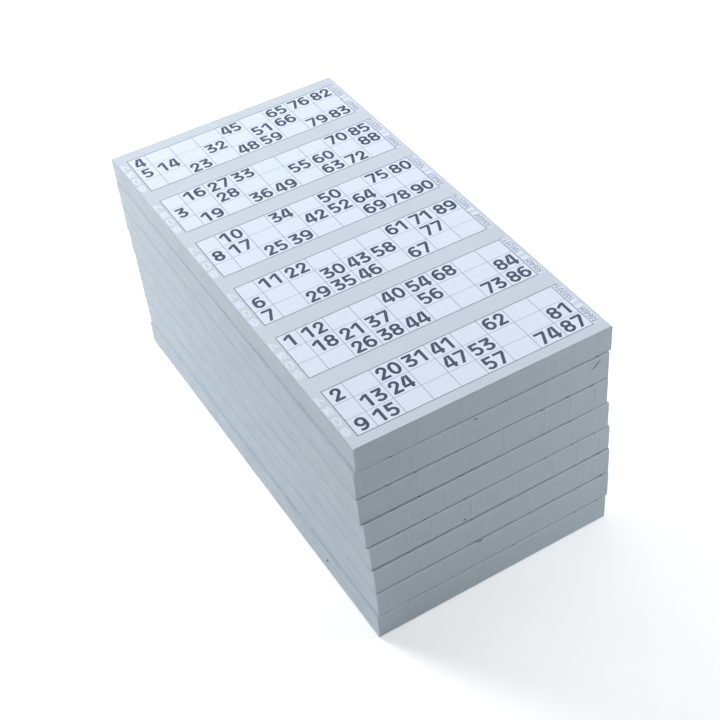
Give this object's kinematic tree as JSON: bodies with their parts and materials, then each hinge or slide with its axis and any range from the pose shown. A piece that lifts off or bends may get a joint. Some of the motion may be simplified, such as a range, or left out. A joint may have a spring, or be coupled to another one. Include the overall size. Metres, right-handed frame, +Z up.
{
  "type": "stack of bingo sheet pads",
  "caption": "Stack of loose, edge-gummed pads of six-ticket bingo sheets, a little askew, with numbered 90-ball tickets on the top sheet and top leaves that turn up at the gum.",
  "frame": {"origin": "middle of the bounding box's underside, where the bottom leaf rests", "axes": "+X across a sheet in the reading direction, away from the gummed edge; +Y up the page, towards the first ticket; +Z up through the stack"},
  "size_m": [0.1292, 0.2416, 0.122],
  "materials": {
    "cut_leaves": "matt",
    "printed_sheet": "matt",
    "padding_gum": "satin"
  },
  "bodies": {
    "pad_1": {"pad_1_leaves": "cut_leaves", "pad_1_gum": "padding_gum", "pad_1_top_sheet": "printed_sheet"},
    "pad_2": {"pad_2_leaves": "cut_leaves", "pad_2_gum": "padding_gum", "pad_2_top_sheet": "printed_sheet"},
    "pad_3": {"pad_3_leaves": "cut_leaves", "pad_3_gum": "padding_gum", "pad_3_top_sheet": "printed_sheet"},
    "pad_4": {"pad_4_leaves": "cut_leaves", "pad_4_gum": "padding_gum", "pad_4_top_sheet": "printed_sheet"},
    "pad_5": {"pad_5_leaves": "cut_leaves", "pad_5_gum": "padding_gum", "pad_5_top_sheet": "printed_sheet"},
    "pad_6": {"pad_6_leaves": "cut_leaves", "pad_6_gum": "padding_gum", "pad_6_top_sheet": "printed_sheet"},
    "pad_7": {"pad_7_leaves": "cut_leaves", "pad_7_gum": "padding_gum", "pad_7_top_sheet": "printed_sheet"},
    "pad_8": {"pad_8_leaves": "cut_leaves", "pad_8_gum": "padding_gum"},
    "sheet_1": {"turning_sheet_1": "printed_sheet"},
    "sheet_2": {"turning_sheet_2": "printed_sheet"},
    "sheet_3": {"turning_sheet_3": "printed_sheet"},
    "sheet_4": {"turning_sheet_4": "printed_sheet"},
    "sheet_5": {"turning_sheet_5": "printed_sheet"},
    "sheet_6": {"turning_sheet_6": "printed_sheet"}
  },
  "joints": [
    {"name": "pad_2_lift", "type": "slide", "parent": "pad_1", "child": "pad_2", "axis": [0, 0, 1], "range_m": [0, 0.06]},
    {"name": "pad_3_lift", "type": "slide", "parent": "pad_2", "child": "pad_3", "axis": [0, 0, 1], "range_m": [0, 0.06]},
    {"name": "pad_4_lift", "type": "slide", "parent": "pad_3", "child": "pad_4", "axis": [0, 0, 1], "range_m": [0, 0.06]},
    {"name": "pad_5_lift", "type": "slide", "parent": "pad_4", "child": "pad_5", "axis": [0, 0, 1], "range_m": [0, 0.06]},
    {"name": "pad_6_lift", "type": "slide", "parent": "pad_5", "child": "pad_6", "axis": [0, 0, 1], "range_m": [0, 0.06]},
    {"name": "pad_7_lift", "type": "slide", "parent": "pad_6", "child": "pad_7", "axis": [0, 0, 1], "range_m": [0, 0.06]},
    {"name": "pad_8_lift", "type": "slide", "parent": "pad_7", "child": "pad_8", "axis": [0, 0, 1], "range_m": [0, 0.06]},
    {"name": "sheet_1_turn", "type": "hinge", "parent": "pad_8", "child": "sheet_1", "pos_m": [-0.06317, 0.00066, 0.12204], "axis": [0, -1, 0], "range_deg": [0, 165]},
    {"name": "sheet_2_turn", "type": "hinge", "parent": "pad_8", "child": "sheet_2", "pos_m": [-0.06317, 0.00066, 0.12204], "axis": [0, -1, 0], "range_deg": [0, 141.9]},
    {"name": "sheet_3_turn", "type": "hinge", "parent": "pad_8", "child": "sheet_3", "pos_m": [-0.06317, 0.00066, 0.12204], "axis": [0, -1, 0], "range_deg": [0, 118.8]},
    {"name": "sheet_4_turn", "type": "hinge", "parent": "pad_8", "child": "sheet_4", "pos_m": [-0.06317, 0.00066, 0.12204], "axis": [0, -1, 0], "range_deg": [0, 95.7]},
    {"name": "sheet_5_turn", "type": "hinge", "parent": "pad_8", "child": "sheet_5", "pos_m": [-0.06317, 0.00066, 0.12204], "axis": [0, -1, 0], "range_deg": [0, 72.6]},
    {"name": "sheet_6_turn", "type": "hinge", "parent": "pad_8", "child": "sheet_6", "pos_m": [-0.06317, 0.00066, 0.12204], "axis": [0, -1, 0], "range_deg": [0, 49.5]}
  ],
  "couplings": [
    {"joint": "sheet_2_turn", "follows": "sheet_1_turn", "ratio": 0.86},
    {"joint": "sheet_3_turn", "follows": "sheet_1_turn", "ratio": 0.72},
    {"joint": "sheet_4_turn", "follows": "sheet_1_turn", "ratio": 0.58},
    {"joint": "sheet_5_turn", "follows": "sheet_1_turn", "ratio": 0.44},
    {"joint": "sheet_6_turn", "follows": "sheet_1_turn", "ratio": 0.3}
  ]
}
